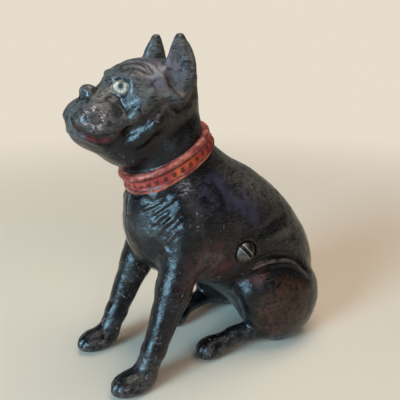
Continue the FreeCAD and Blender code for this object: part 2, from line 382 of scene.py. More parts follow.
def dog_outside(clay):
    """The outer forms of one side, blended as the pattern maker would round them in."""
    _, y, z = SKULL
    clay.add(torso)
    clay.add(mass((SHOULDER + 1.0, 2.0, 50.0), (7.2, 11.0, 14.0), lean=20), 5.0)
    clay.add(limb([(SHOULDER, -2.0, 48.0, 8.0), (PAW - 1.2, -8.8, 31.0, 5.8), (PAW, -17.0, 13.0, 3.9),
                   (PAW, -20.2, 6.5, 3.9)]), 3.4)
    clay.add(mass((PAW, -25.0, 3.6), (5.0, 7.8, 4.1), lean=4), 2.0)
    clay.add(mass(THIGH, THIGH_RADII), 2.2)
    clay.add(mass((HAUNCH + 0.4, 27.5, 23.5), (8.2, 12.0, 8.4), lean=-16), 3.0)
    clay.add(limb([(HAUNCH + 0.6, 21.0, 24.5, 5.0), (HOCK, 26.0, 8.5, 4.4)]), 2.0)
    clay.add(limb([(HOCK, 27.0, 7.4, 4.2), (HIND_TOE + 1.6, 15.0, 6.6, 3.1),
                   (HIND_TOE + 0.5, 9.0, 4.4, 3.6)]), 1.6)
    clay.add(mass((HIND_TOE, 6.6, 3.8), (4.4, 5.8, 4.2)), 1.4)
    clay.add(limb([(0, 55.0, 10.0, 5.0), (0, 60.0, 5.5, 3.4)]), 2.4)
    head = Clay(*HEAD_BLOCK)
    head.add(mass(SKULL, SKULL_RADII, lean=-8))
    for form, blend in (
        (mass((0, y - 5.4, z + 2.2), (11.0, 10.6, 9.8), lean=-20), 2.0),   # forehead
        (mass((7.6, y - 5.6, z - 5.0), (6.4, 8.6, 8.6)), 3.0),             # cheek
        (mass((6.4, y - 9.2, z + 3.8), (5.0, 4.6, 5.0)), 2.6),             # brow
        (mass((0, y - 12.0, z + 3.6), (4.6, 4.8, 4.8)), 2.4),              # between the brows
        (mass((0, y - 17.8, z - 5.4), (10.2, 9.8, 7.4), lean=-14), 2.2),   # muzzle
        (mass((5.0, y - 19.5, z - 5.6), (5.6, 8.0, 6.6), lean=-14), 2.0),  # hanging lip
        (mass((0, y - 14.8, z + 0.2), (6.0, 8.0, 4.6)), 2.6),              # bridge of the nose
        (mass((0, y - 16.0, z - 11.0), (8.0, 12.2, 5.2), lean=-18), 1.4),  # lower jaw
        (mass((0, y - 8.3, z - 13.0), (10.5, 10.0, 8.0)), 3.0),            # throat
        (limb([(7.5, y - 13.5, z - 12.0, 2.0), (10.0, y - 9.6, z - 9.9, 2.3), (12.7, y - 6.1, z - 5.3, 2.2),
               (12.4, y - 4.2, z - 2.0, 1.8)]), 1.3),                      # fold of the jowl
    ):
        head.add(form, blend)
    ear = column([
        (EAR_SPREAD - 0.2, y + 4.8, z + 1.0, 4.2, 5.6),
        (EAR_SPREAD + 0.4, y + 4.9, z + 7.0, 3.8, 5.5),
        (EAR_SPREAD + 0.2, y + 5.2, z + 12.5, 2.9, 4.4),
        (EAR_SPREAD - 0.6, y + 5.6, z + 16.8, 1.7, 2.6),
        (EAR_SPREAD - 1.0, y + 5.8, z + 19.5, 0.7, 1.0),
    ])
    head.add(ear, 1.6)
    head.add(mass((EAR_SPREAD - 0.9, y + 5.7, z + 17.9), (1.1, 1.7, 1.6)), 0.8)
    head.cut(mass((EAR_SPREAD + 4.4, y + 2.4, z + 9.4), (4.3, 2.3, 8.2), lean=19, turn=-120), 0.7)
    head.add(mass((0, y - 21.1, z + 3.0), (3.4, 2.6, 2.5)), 0.7)      # nose
    cut, *axes = clay.window([axis[0] for axis in head.axes], [axis[-1] for axis in head.axes])
    values = head.sample(np.stack([a.ravel() for a in np.broadcast_arrays(*axes)], 1))
    clay.depth[cut] = soft_min(clay.depth[cut], values.reshape(clay.depth[cut].shape).astype(np.float32), 2.0)


def collar_form():
    """Band, thick upper roll and thin lower roll round the leaning neck."""
    def distance(x, y, z):
        v, w = y - COLLAR[1], z - COLLAR[2]
        up = v * NECK_AXIS[1] + w * NECK_AXIS[2]
        ahead = v * NECK_FRONT[1] + w * NECK_FRONT[2]
        out = np.sqrt((x / COLLAR_OVAL) ** 2 + ahead ** 2)
        band = np.maximum(np.abs(out - (COLLAR_DEPTH - 1.7)) - 1.7, np.abs(up) - 2.9)
        upper = np.sqrt((out - (COLLAR_DEPTH - 0.45)) ** 2 + (up - 2.15) ** 2) - 0.95
        lower = np.sqrt((out - (COLLAR_DEPTH - 0.05)) ** 2 + (up + 2.5) ** 2) - 0.55
        return soft_min(soft_min(band, upper, 0.15), lower, 0.15) * 0.94

    return (-18, -22, 62), (18, 16, 86), distance


def collar_point(angle, up, out=0.0):
    """Point on the collar: angle from the dog's front, in radians towards its left."""
    ring = COLLAR + NECK_AXIS * up - NECK_FRONT * (COLLAR_DEPTH + out) * math.cos(angle)
    return ring + np.array([COLLAR_OVAL * (COLLAR_DEPTH + out) * math.sin(angle), 0, 0])


# lines in the skin that the paint follows too
MOUTH = [(3.0, -34.6, 85.9), (5.8, -34.2, 85.0), (7.7, -33.2, 84.0), (8.7, -31.3, 82.6),
         (9.3, -28.9, 81.7), (9.7, -26.4, 81.8)]
CREASE = [(10.4, -24.1, 83.6), (10.6, -20.6, 84.0), (12.3, -18.0, 85.8), (13.2, -15.6, 88.0),
          (13.4, -12.8, 90.2), (13.6, -10.8, 92.6)]
EAR_RIM = [(EAR_SPREAD + out, SKULL[1] + back, SKULL[2] + up) for out, back, up in
           ((-0.4, 6.6, 17.6), (1.6, 8.0, 13.0), (3.6, 7.6, 7.6), (4.8, 5.0, 2.8), (4.8, 1.6, 0.6),
            (3.4, -1.4, 1.6), (2.2, -2.4, 4.4))]
BROW_RIDGE = [(4.2, -21.6, 98.7), (6.6, -19.8, 99.8), (8.8, -18.6, 99.2), (11.0, -17.8, 97.2)]
HAUNCH_RIDGE = [(18.3, 16.2, 32.4), (19.7, 20.3, 34.4), (20.3, 26.5, 35.4), (20.3, 33.6, 34.2),
                (21.0, 38.0, 32.0), (22.7, 41.0, 28.2), (23.6, 44.0, 23.6)]


def neck_folds():
    """Thin folds of skin that run back and up over the chest, each a little different."""
    dice = np.random.default_rng(5)
    front = curve_through([(1.5, -16.6, 63.0), (6.0, -16.0, 57.0), (9.4, -14.2, 50.0), (11.4, -12.4, 42.0)])
    rear = curve_through([(12.8, -8.8, 69.8), (15.4, -3.0, 68.2), (16.6, -2.6, 63.0), (16.8, -4.6, 56.0)])
    for k in range(11):
        share = np.clip((k + dice.uniform(-0.35, 0.35)) / 10, 0, 1)
        a = front[int(share * (len(front) - 1))]
        b = rear[int(share * (len(rear) - 1))] + dice.uniform(-1.3, 1.3, 3) * (0, 0.6, 1)
        start = dice.uniform(0.0, 0.4)
        stop = start + dice.uniform(0.35, 0.6)
        points = []
        for t in np.linspace(start, stop, 4):
            bow = np.array([2.0, -2.0, -1.2]) * math.sin(math.pi * t)
            points.append(a + (b - a) * t + bow + dice.uniform(-0.3, 0.3, 3))
        yield points, dice.uniform(0.35, 0.85), dice.uniform(0.55, 1.05)


# folds of the head from the brow to the chin: line, width, depth and the share of it that tapers off
HEAD_FOLDS = [
    ([(0.4, -19.4, 101.6), (3.2, -15.2, 103.0), (6.0, -13.2, 102.2), (8.8, -12.6, 100.4),
      (11.0, -12.9, 98.2)], 0.8, 0.85),
    ([(4.2, -20.2, 99.6), (5.0, -17.4, 101.2), (6.6, -15.3, 101.2), (8.4, -14.2, 100.2),
      (10.2, -14.2, 98.6)], 0.8, 0.6),
    (BROW_RIDGE, 1.1, -0.75),
    ([(10.4, -26.0, 85.4), (10.4, -22.6, 86.2), (11.0, -19.7, 88.0), (11.6, -17.1, 90.6),
      (12.2, -14.7, 93.2), (12.6, -12.0, 95.6)], 1.5, -1.1),
    (CREASE, 1.3, 1.2),
    ([(8.0, -19.0, 77.0), (10.4, -16.4, 78.2), (12.6, -13.6, 81.0), (13.6, -11.0, 84.0)], 1.4, 0.9),
    ([(0.0, -35.2, 88.6), (3.0, -34.8, 87.3), (5.6, -34.3, 86.4), (7.6, -33.5, 85.4),
      (8.6, -32.2, 84.0), (9.4, -30.1, 82.9), (10.1, -27.7, 82.8), (10.5, -25.6, 83.6)],
     0.7, 0.75, 0.1),
    (MOUTH, 0.9, 0.55, 0.2),
    ([(3.0, -34.0, 83.6), (6.6, -32.4, 82.4), (8.2, -30.4, 80.8), (8.6, -27.6, 79.8)], 0.9, -0.45),
]


def carve(clay):
    """Folds of the head and body, pressed in or raised one by one."""
    for fold in HEAD_FOLDS:
        clay.stroke(*fold)
    # eye: socket, lids and ball
    rim = []
    for k in range(13):
        turn = 2 * math.pi * k / 12
        rim.append(EYE + EYE_ALONG * 3.1 * math.cos(turn) + EYE_UP * 2.3 * math.sin(turn))
    clay.stroke(rim, 0.75, 0.5, taper=0)
    clay.dab(EYE, 2.0, -0.35)
    clay.stroke([(6.6, -23.4, 94.2), (6.0, -24.6, 92.8), (6.3, -25.4, 91.0)], 0.7, 0.5)
    # nostrils and the groove between them
    clay.dab((1.7, -30.2, 94.6), 0.7, 0.5)
    clay.stroke([(0, -30.9, 95.6), (0, -30.6, 93.2), (0, -33.6, 91.0), (0, -35.2, 88.8)], 0.6, 0.55, 0.1)
    # whisker pits
    for row in range(3):
        for step in range(4):
            clay.dab((9.0, -33.4 + 2.0 * step + 0.5 * row, 90.4 - 1.6 * row - 0.15 * step), 0.5, 0.28)
    # neck and shoulder folds under the collar
    for fold, depth, width in neck_folds():
        clay.stroke(fold, width, -depth)
        clay.stroke(np.array(fold) - (0.2, 0, 1.1), 0.65, depth)
    # loin and rib folds
    clay.stroke([(20.2, 18.4, 44.6), (19.6, 23.0, 46.9), (18.8, 27.2, 48.4), (17.0, 33.1, 49.4),
                 (14.4, 39.4, 48.6)], 1.2, 0.8)
    clay.stroke([(20.0, 22.0, 43.4), (19.2, 27.0, 44.6), (17.8, 33.0, 45.2), (15.0, 39.6, 44.4)], 1.3, -0.7)
    clay.stroke([(18.0, 30.0, 41.0), (17.4, 35.0, 41.4), (15.6, 41.0, 40.0)], 1.2, 0.6)
    # ridge and groove that outline the haunch
    for lift, width, depth in ((0.0, 1.0, -1.3), (2.4, 1.1, 1.3), (-2.6, 1.3, 0.6)):
        clay.stroke(np.array(HAUNCH_RIDGE) + (0, 0, lift), width, depth)
    # toes
    for offset in (-1.7, 1.7):
        clay.stroke([(PAW + offset, y, z) for y, z in ((-28.4, 7.0), (-31.6, 5.4), (-33.2, 2.0))], 0.7, 0.5)
        clay.stroke([(HIND_TOE + offset, y, z) for y, z in ((4.0, 7.6), (1.6, 5.6), (0.8, 2.2))], 0.6, 0.4)
    # rim of the ear and the hollow below it
    _, y, z = SKULL
    clay.stroke(EAR_RIM, 0.9, -1.3, taper=0.12)
    clay.stroke([(EAR_SPREAD + 5.6, y + 6.4, z + 0.4), (EAR_SPREAD + 5.4, y + 1.8, z - 1.8),
                 (EAR_SPREAD + 4.0, y - 2.0, z - 0.4)], 1.0, 0.8)


def coin_room():
    """Depths of the hollow inside, below zero where there is no iron."""
    room = Clay(*HALF_BLOCK)
    room.add(torso)
    room.depth += WALL
    room.add(mass(SKULL, SKULL_RADII, lean=-8, inset=WALL), 1.0)
    room.add(mass(SKULL - (0, 15.2, 5.2), (10.4, 12.6, 7.5), lean=-14, inset=WALL), 1.0)
    room.add(mass(THIGH, THIGH_RADII, inset=WALL), 1.0)
    return np.maximum(room.depth, WALL - room.axes[2])


def coin_slot():
    """The slot's space, on the joint along the back."""
    ahead, behind = outline(4, "back"), outline(5, "back")
    return block_on((ahead + behind) / 2, ahead - behind, COIN_SLOT_LENGTH / 2,
                    -COIN_SLOT_WIDTH / 2, COIN_SLOT_WIDTH / 2, -COIN_SLOT_DEPTH, COIN_SLOT_DEPTH)


def lugs():
    """Two blocks for each lug: its root on the wall, and the tongue that reaches past the joint."""
    deep = LUG_CLEARANCE + LUG_THICK
    for index, side in LUG_STATIONS:
        point = outline(index, side, WALL)
        way = outline(index + 1, side, WALL) - outline(index - 1, side, WALL)
        way = way if side == "belly" else -way
        yield block_on(point, way, LUG_WIDTH / 2, 0, LUG_ROOT, -WALL / 2, deep)
        yield block_on(point, way, LUG_WIDTH / 2, -LUG_REACH, LUG_ROOT, LUG_CLEARANCE, deep)


# ---------------- meshes
def waves(points, length, seed):
    """Random swell at points, a sum of plane waves of about the given length."""
    dice = np.random.default_rng(seed)
    total = np.zeros(len(points))
    for _ in range(36):
        way = unit(dice.normal(size=3)) * 2 * math.pi / (length * dice.uniform(0.7, 1.4))
        total += np.sin(points @ way + dice.uniform(0, 2 * math.pi))
    return total / 6


def distance_to(points, line):
    """Distance of each point from the nearest of the line's samples."""
    parts = (points[start:start + CHUNK] for start in range(0, len(points), CHUNK))
    return np.concatenate([np.sqrt(((part[:, None, :] - line[None]) ** 2).sum(2).min(1)) for part in parts])


def make_object(name, points, faces, marks):
    """Smooth-shaded mesh from points in the dog's frame, with one number per point for each mark."""
    mesh = bpy.data.meshes.new(name)
    placed = (points + np.array([0, SHIFT, 0])) / 1000
    mesh.vertices.add(len(placed))
    mesh.vertices.foreach_set("co", placed.astype(np.float32).ravel())
    corners = faces.shape[1]
    mesh.loops.add(faces.size)
    mesh.loops.foreach_set("vertex_index", faces.astype(np.int32).ravel())
    mesh.polygons.add(len(faces))
    mesh.polygons.foreach_set("loop_start", np.arange(0, faces.size, corners, dtype=np.int32))
    mesh.update(calc_edges=True)
    mesh.validate()
    mesh.polygons.foreach_set("use_smooth", np.ones(len(mesh.polygons), bool))
    for mark, values in marks.items():
        layer = mesh.attributes.new(mark, "FLOAT", "POINT")
        layer.data.foreach_set("value", np.asarray(values, np.float32))
    piece = bpy.data.objects.new(name, mesh)
    bpy.context.scene.collection.objects.link(piece)
    return piece


def casting(side):
    """One casting. side is 1 for the left one and -1 for the right one."""
    clay, post = Clay(*HALF_BLOCK), Clay(*HALF_BLOCK)
    clay.depth = np.maximum(body_depth, -room_depth)
    post.add(round_bar(POST_RADIUS, POST_GAP if side > 0 else 0.0, 40))
    clay.depth = soft_min(clay.depth, np.maximum(post.depth, body_depth), 0.8)
    clay.depth = np.maximum(clay.depth, JOINT_GAP - clay.axes[0][:, None, None])
    if side > 0:
        for form in lugs():
            lug = Clay(*HALF_BLOCK)
            lug.add(form)
            clay.depth = np.minimum(clay.depth, np.maximum(lug.depth, body_depth + 1.0))
        clay.cut(round_bar(SCREW_RADIUS + HOLE_CLEARANCE, -1, 60))
        clay.cut(round_bar(HEAD_RADIUS + HOLE_CLEARANCE, SEAT_PLANE, 60), 0.5)
    else:
        clay.cut(round_bar(SCREW_RADIUS + THREAD_CLEARANCE, -1, HOLE_SPARE - TIP))
    clay.cut(coin_slot(), 0.35)
    clay.depth = np.maximum(clay.depth, FLOOR_GAP - clay.axes[2])
    points, quads = clay.skin()
    normal = clay.slope(points, 0.5)
    normal = normal / np.maximum(np.linalg.norm(normal, axis=1), 1e-6)[:, None]
    # uneven sand: a swell over the outside that leaves the joint and the underside flat
    outside = np.abs(clay.sample(points, body_depth)) < 0.6
    away = smooth_step(points[:, 0], 0.2, 1.6) * smooth_step(points[:, 2], 0.3, 2.0) * outside
    seed = 11 if side > 0 else 23
    swell = (0.07 * waves(points, 9.0, seed) + 0.045 * waves(points, 4.0, seed + 1)
             + 0.022 * waves(points, 2.0, seed + 2))
    points = points + normal * (away * swell)[:, None]
    bend = (clay.sample(points, clay.blurred()) - clay.sample(points)) / (0.75 * clay.step ** 2)
    marks = {"bend": np.clip(bend, -2, 2),
             "to_mouth": distance_to(points, mouth_line),
             "to_crease": distance_to(points, crease_line),
             "to_ridge": np.minimum.reduce([distance_to(points, line) for line in ridge_lines])}
    if side > 0:
        return make_object("left_half", points, quads, marks)
    return make_object("right_half", points * (-1, 1, 1), quads[:, ::-1], marks)


torso = torso_form()
body = Clay(*HALF_BLOCK)
dog_outside(body)
body.add(collar_form(), 0.25)
carve(body)
for stud in range(STUDS):
    spot = collar_point(2 * math.pi * (stud + 0.5) / STUDS, -0.5, -0.3)
    if spot[0] > -2:
        body.add(mass(spot, (0.7, 0.7, 0.7)), 0.2)
body_depth, room_depth = body.depth, coin_room()
mouth_line, crease_line, *ridge_lines = (body.on_surface(curve_through(line)) for line in
                                         (MOUTH, CREASE, EAR_RIM, BROW_RIDGE, HAUNCH_RIDGE))
left_half = casting(1)
right_half = casting(-1)


def screw_head():
    """Domed head with a worn driver slot, cut from its own fine block of clay."""
    radius, height, turn = HEAD_RADIUS, HEAD_HEIGHT, math.radians(DRIVER_SLOT_TURN)
    clay = Clay((-0.6, -4.6, -4.6), (3.3, 4.6, 4.6), 0.075)
    x, y, z = np.ix_(*clay.axes)
    ball = (radius ** 2 + height ** 2) / (2 * height)
    dome = np.sqrt((x - height + ball) ** 2 + y ** 2 + z ** 2) - ball
    side = np.sqrt(y ** 2 + z ** 2) - radius + 0.06
    head = soft_max(soft_max(dome, side, 0.35), 0.02 - x, 0.1)
    across = -y * math.sin(turn) + z * math.cos(turn)
    along = y * math.cos(turn) + z * math.sin(turn)
    bow = DRIVER_SLOT_WIDTH / 2 + 0.05 * smooth_step(np.abs(along), 2.2, 3.9)
    slot = np.maximum(np.abs(across) - bow, height - DRIVER_SLOT_DEPTH - x)
    clay.depth = soft_max(head, -slot, 0.14).astype(np.float32)
    points, quads = clay.skin()
    x, y, z = points.T
    sides = np.abs(-y * math.sin(turn) + z * math.cos(turn)) - DRIVER_SLOT_WIDTH / 2 - 0.12
    below = ball - np.sqrt((x - height + ball) ** 2 + y ** 2 + z ** 2)
    # floor and walls of the slot, which are painted dark as shade
    slot_shade = smooth_step(below, 0.10, 0.45) * (sides < 0) * (x > 0.5)
    lip = np.exp(-(sides / 0.14) ** 2) * smooth_step(below, 0.25, 0.08)
    return points + np.array([SEAT_PLANE, SCREW_BACK, SCREW_HEIGHT]), quads, slot_shade, lip


def screw_shank():
    """Shank with its helical thread, closed at both ends."""
    thread_depth, around = 0.42, 40
    low, high = TIP + 0.02, SEAT_PLANE + 0.05
    rows = int((high - low) / SCREW_PITCH * 12)
    turn = np.linspace(0, 2 * math.pi, around, endpoint=False)
    points = []
    for x in np.linspace(low, high, rows):
        phase = (x - low) / SCREW_PITCH - turn / (2 * math.pi)
        tooth = np.abs((phase % 1) - 0.5) * 2
        runout = smooth_step(high - x, 1.2, 3.0)
        radius = SCREW_RADIUS - thread_depth * smooth_step(tooth, 0.12, 0.88) * runout
        radius = np.minimum(radius, SCREW_RADIUS - 0.6 + (x - low))
        points.append(np.stack([np.full(around, x), SCREW_BACK + radius * np.cos(turn),
                                SCREW_HEIGHT + radius * np.sin(turn)], 1))
    faces = []
    for row in range(rows - 1):
        for k in range(around):
            a, b = row * around + k, row * around + (k + 1) % around
            faces.append((a, b, b + around, a + around))
    points = np.vstack(points + [[[low, SCREW_BACK, SCREW_HEIGHT]], [[high, SCREW_BACK, SCREW_HEIGHT]]])
    tip, top = len(points) - 2, len(points) - 1
    for k in range(0, around, 2):
        faces.append((tip, (k + 2) % around, k + 1, k))
        last = (rows - 1) * around
        faces.append((top, last + k, last + k + 1, last + (k + 2) % around))
    return points, np.array(faces)


head_points, head_faces, slot_shade, lip = screw_head()
shank_points, shank_faces = screw_shank()
bare_shank = np.zeros(len(shank_points))
round_head_screw = make_object("round_head_screw", np.vstack([shank_points, head_points]),
                               np.vstack([shank_faces, head_faces + len(shank_points)]),
                               {"slot_shade": np.concatenate([bare_shank, slot_shade]),
                                "lip": np.concatenate([bare_shank, lip])})


# ---------------- shader maths
class Value:
    """A number that changes over the surface. Expressions on it add Math nodes."""

    def __init__(self, finish, socket):
        self.finish, self.socket = finish, socket

    def math(self, operation, *others):
        return self.finish.node("Math", {"operation": operation}, [self, *others])

    def __add__(self, other): return self.math("ADD", other)
    def __mul__(self, other): return self.math("MULTIPLY", other)
    def __sub__(self, other): return self.math("SUBTRACT", other)
    def __rsub__(self, other): return (self * -1) + other
    def __truediv__(self, other): return self.math("DIVIDE", other)
    def __pow__(self, other): return self.math("POWER", other)
    def __neg__(self): return self * -1
    def __abs__(self): return self.math("ABSOLUTE")
    __radd__ = __add__

    def rise(self, low, high):
        """0 below low and 1 above high, smooth between; the other way about when low is above high."""
        return self.finish.node("MapRange", {"interpolation_type": "SMOOTHSTEP"},
                                {"Value": self, "From Min": low, "From Max": high})


class Finish:
    """The nodes of a material or of the world. node() adds one and gives its output as a Value."""

    def __init__(self, owner):
        self.owner = owner
        owner.use_nodes = True
        self.tree = owner.node_tree
        self.tree.nodes.clear()

    def feed(self, socket, given):
        if isinstance(given, Value):
            self.tree.links.new(given.socket, socket)
        else:
            socket.default_value = given

    def node(self, kind, settings=None, inputs=None, output=0):
        made = self.tree.nodes.new("ShaderNode" + kind)
        for key, setting in (settings or {}).items():
            setattr(made, key, setting)
        for key, given in inputs.items() if isinstance(inputs, dict) else enumerate(inputs or []):
            self.feed(made.inputs[key], given)
        return Value(self, made.outputs[output]) if len(made.outputs) else None

    def place(self):
        """Where each point is in its object."""
        return self.node("TexCoord", None, None, 3)

    def vector(self, operation, *given):
        output = 1 if operation in ("DOT_PRODUCT", "LENGTH", "DISTANCE") else 0
        return self.node("VectorMath", {"operation": operation}, given, output)

    def dot(self, value, way):
        return self.vector("DOT_PRODUCT", value, tuple(way))

    def mix(self, share, first, second):
        """From the first colour to the second as share goes from 0 to 1."""
        made = self.tree.nodes.new("ShaderNodeMix")
        made.data_type = "RGBA"
        self.feed(made.inputs[0], share)
        for socket, given in ((made.inputs[6], first), (made.inputs[7], second)):
            self.feed(socket, (*given, 1) if isinstance(given, tuple) else given)
        return Value(self, made.outputs[2])

    def mark(self, name):
        return self.node("Attribute", {"attribute_name": name}, None, 2)

    def stretched(self, place, turn, scale):
        """The place turned about X by degrees and then scaled, for streaky grain."""
        return self.node("Mapping", None,
                         {"Vector": place, "Rotation": (math.radians(turn), 0, 0), "Scale": scale})

    def grain(self, place, size, detail=3.0, rough=0.55, warp=0.0):
        """Cloudy noise of the given size in millimetres, from 0 to 1."""
        return self.node("TexNoise", {"noise_dimensions": "3D"},
                         {"Vector": place, "Scale": 1.0 / size, "Detail": detail, "Roughness": rough,
                          "Distortion": warp})

    def bump(self, strength, distance, height):
        return self.node("Bump", None, {"Strength": strength, "Distance": distance, "Height": height})

    def principled(self, inputs):
        return self.node("BsdfPrincipled", None, inputs)

    def finished(self, surface, kind="Material"):
        """What owns the tree, with the surface led to its output."""
        self.node("Output" + kind, None, {"Surface": surface})
        return self.owner


# ---------------- finishes
def worn_black_enamel(side):
    """Black enamel on cast iron, rubbed through on its edges, with the painted collar, eyes and mouth."""
    paint = Finish(bpy.data.materials.new("worn_black_enamel_" + ("left" if side > 0 else "right")))
    mix, grain = paint.mix, paint.grain
    place = paint.vector("MULTIPLY_ADD", paint.place(), (1000.0 * side, 1000.0, 1000.0), (0.0, -SHIFT, 0.0))
    # the right half's wear is drawn from another part of the noise than the left half's
    drift = paint.vector("ADD", place, (37.0 * (side < 0), 11.0 * (side < 0), 0.0))
    x, y, z = (paint.node("SeparateXYZ", None, [place], i) for i in range(3))

    def near(point, low, high):
        """1 within low millimetres of the point and 0 beyond high."""
        return paint.vector("DISTANCE", place, point).rise(high, low)

    bend, to_ridge = paint.mark("bend"), paint.mark("to_ridge")
    to_mouth, to_crease = paint.mark("to_mouth"), paint.mark("to_crease")

    broad = grain(drift, 16.0, 2.0)
    cloud = grain(drift, 5.0, 4.0, 0.6)
    patchy = grain(drift, 2.4, 5.0, 0.65, 0.6)
    fine = grain(drift, 0.9, 4.0, 0.65)
    speck = grain(drift, 0.35, 2.0, 0.7)
    # hollows, found from the skin's bend: darkened later as painted shade and dirt
    hollow_dirt_and_shade = bend.rise(-0.05, -0.5)
    hair_streak = grain(paint.stretched(drift, 38, (1.0, 0.20, 1.5)), 0.75, 3.0, 0.55, 0.5)

    # enamel: near black, with maroon where the layers show through, and a painted blue purple sheen on the
    # shoulder and flank
    black = mix(cloud.rise(0.40, 0.7), (0.0022, 0.0022, 0.0030), (0.008, 0.0075, 0.009))
    # purple patches on the shoulder and flank: a painted sheen, not the enamel's own colour
    purple_sheen = near((17.1, 6.0, 62.5), 2.0, 12.0) + near((17.9, 18.0, 56.0), 2.0, 12.0)
    purple_sheen = (purple_sheen * (patchy * 0.35 + cloud * 0.65).rise(0.30, 0.66)).rise(0.0, 1.0)
    black = mix(purple_sheen * 0.75, black, (0.036, 0.031, 0.066))
    maroon = (near((17.0, 3.0, 39.0), 3.0, 15.0) + near((14.0, -6.0, 33.0), 2.0, 9.0)
              + near((17.0, 22.0, 32.0), 2.0, 8.0)).rise(0.0, 1.0)
    layers = (patchy * 0.6 + cloud * 0.4).rise(0.40, 0.60)
    black = mix(maroon * layers * 0.9, black, (0.070, 0.011, 0.011))
    # grey bloom of age over the head and along the back, partly a painted sheen where these tops catch the
    # light from above
    crown = (z - y * 0.45).rise(92.0, 102.0) * (1 - near((9.5, -22.0, 90.5), 2.5, 5.5) * 0.7)
    nape = y.rise(2.0, 16.0) * z.rise(46.0, 60.0) * x.rise(20.0, 14.0)
    streaky = (patchy * 0.5 + hair_streak * 0.5).rise(0.36, 0.58)
    ears = near((11.5, -9.5, 101.5), 4.0, 9.5) * z.rise(93.0, 97.0)
    # grey on the top of the head and back: age bloom, and a painted sheen from above
    bloom_and_sheen = (crown * 0.9 + nape * 0.6 + broad.rise(0.5, 0.7) * 0.4) * streaky * (1 - ears * 0.9)
    colour = mix(bloom_and_sheen * 0.75, black, (0.120, 0.108, 0.100))
    # ear hollows lighter grey: worn paint, and a painted reflection of the room's light
    ear_grey_and_reflection = mix(cloud.rise(0.40, 0.60), (0.115, 0.108, 0.124), (0.160, 0.118, 0.132))
    colour = mix(ears * (patchy.rise(0.28, 0.56) * 0.75), colour, ear_grey_and_reflection)
    # browned iron on the haunch, mottled
    haunch = near((26.0, 31.0, 17.5), 6.0, 18.0)
    bare = (haunch * 1.25 + (patchy - 0.5) * 1.9).rise(0.40, 0.90) * haunch.rise(0.05, 0.3)
    mottle = grain(drift, 1.9, 5.0, 0.72, 0.4)
    rust = mix(mottle.rise(0.42, 0.56), (0.0040, 0.0026, 0.0024), (0.044, 0.0155, 0.0085))
    rust = mix(fine.rise(0.62, 0.74) * 0.6, rust, (0.090, 0.055, 0.040))
    colour = mix(bare * 0.95, colour, rust)
    # rubbed edges and paws: thin paint over grey brown iron
    paws = z.rise(9.0, 3.5) * patchy.rise(0.42, 0.58)
    edges = (bend * 0.8 + (patchy - 0.5) * 2.2 + (fine - 0.5) * 2.0).rise(0.80, 1.70)
    # ridges of the ear rim, brow and haunch made lighter: rubbed paint, and a painted highlight along the
    # rims
    ridge_wear_and_highlight = (to_ridge + (fine - 0.5) * 1.4).rise(0.95, 0.25) * (patchy * 0.5 + cloud * 0.5).rise(0.36, 0.54)
    rubbed = (edges + paws * 0.8 + ridge_wear_and_highlight * 0.8).rise(0.0, 1.0)
    iron = mix(fine.rise(0.35, 0.65), (0.060, 0.045, 0.040), (0.150, 0.115, 0.100))
    colour = mix(rubbed * 0.6, colour, iron)
    # small chips of uneven shape, in loose groups
    chips = grain(drift, 1.5, 4.0, 0.75, 1.2)
    legs = z.rise(40.0, 30.0) * y.rise(14.0, 8.0)
    chipped = (chips + legs * 0.035).rise(0.650, 0.670) * (broad + legs * 0.1).rise(0.44, 0.54)
    metal = mix(speck.rise(0.4, 0.6), (0.12, 0.09, 0.08), (0.33, 0.26, 0.23))
    colour = mix(chipped, colour, metal)
    # rust in the cheek's fold
    fold = (to_crease + (cloud - 0.5) * 3.0).rise(1.7, 0.3) * patchy.rise(0.38, 0.56)
    colour = mix(fold * 0.8, colour, (0.040, 0.013, 0.011))
    # whisker patch, worn to pink primer in a few spots
    patch = near((9.2, -30.6, 88.2), 3.0, 5.4)
    colour = mix(patch * patchy.rise(0.35, 0.6) * 0.8, colour, (0.060, 0.045, 0.045))
    ring = patch * near((9.3, -30.3, 88.0), 1.0, 2.4).rise(1.0, 0.3)
    flakes = grain(drift, 1.25, 5.0, 0.75, 0.8)
    pink = (ring * 0.16 + flakes).rise(0.675, 0.715) * ring.rise(0.1, 0.5)
    primer = mix(speck.rise(0.35, 0.65), (0.26, 0.145, 0.13), (0.50, 0.36, 0.32))
    colour = mix(pink * 0.9, colour, primer)
    # pale worn patch below the collar
    pale = near((14.4, -5.0, 66.0), 1.5, 6.5)
    scuff = grain(paint.stretched(drift, -40, (1.0, 0.28, 1.6)), 0.9, 5.0, 0.7, 0.6)
    pale = (pale * 0.8 + (scuff - 0.5) * 3.0 + (fine - 0.5) * 1.2).rise(0.70, 1.25) * pale.rise(0.0, 0.3)
    colour = mix(pale * 0.60, colour, (0.27, 0.205, 0.20))
    # mouth: dark red lip, crimson towards its corner
    crimson = near((9.0, -30.0, 82.4), 1.5, 4.6)
    lips = (to_mouth + (fine - 0.5) * 1.6 + (patchy - 0.5)).rise(1.00, 0.55)
    red = mix(crimson * patchy.rise(0.34, 0.54), (0.026, 0.006, 0.007), (0.15, 0.010, 0.022))
    colour = mix(lips, colour, red)

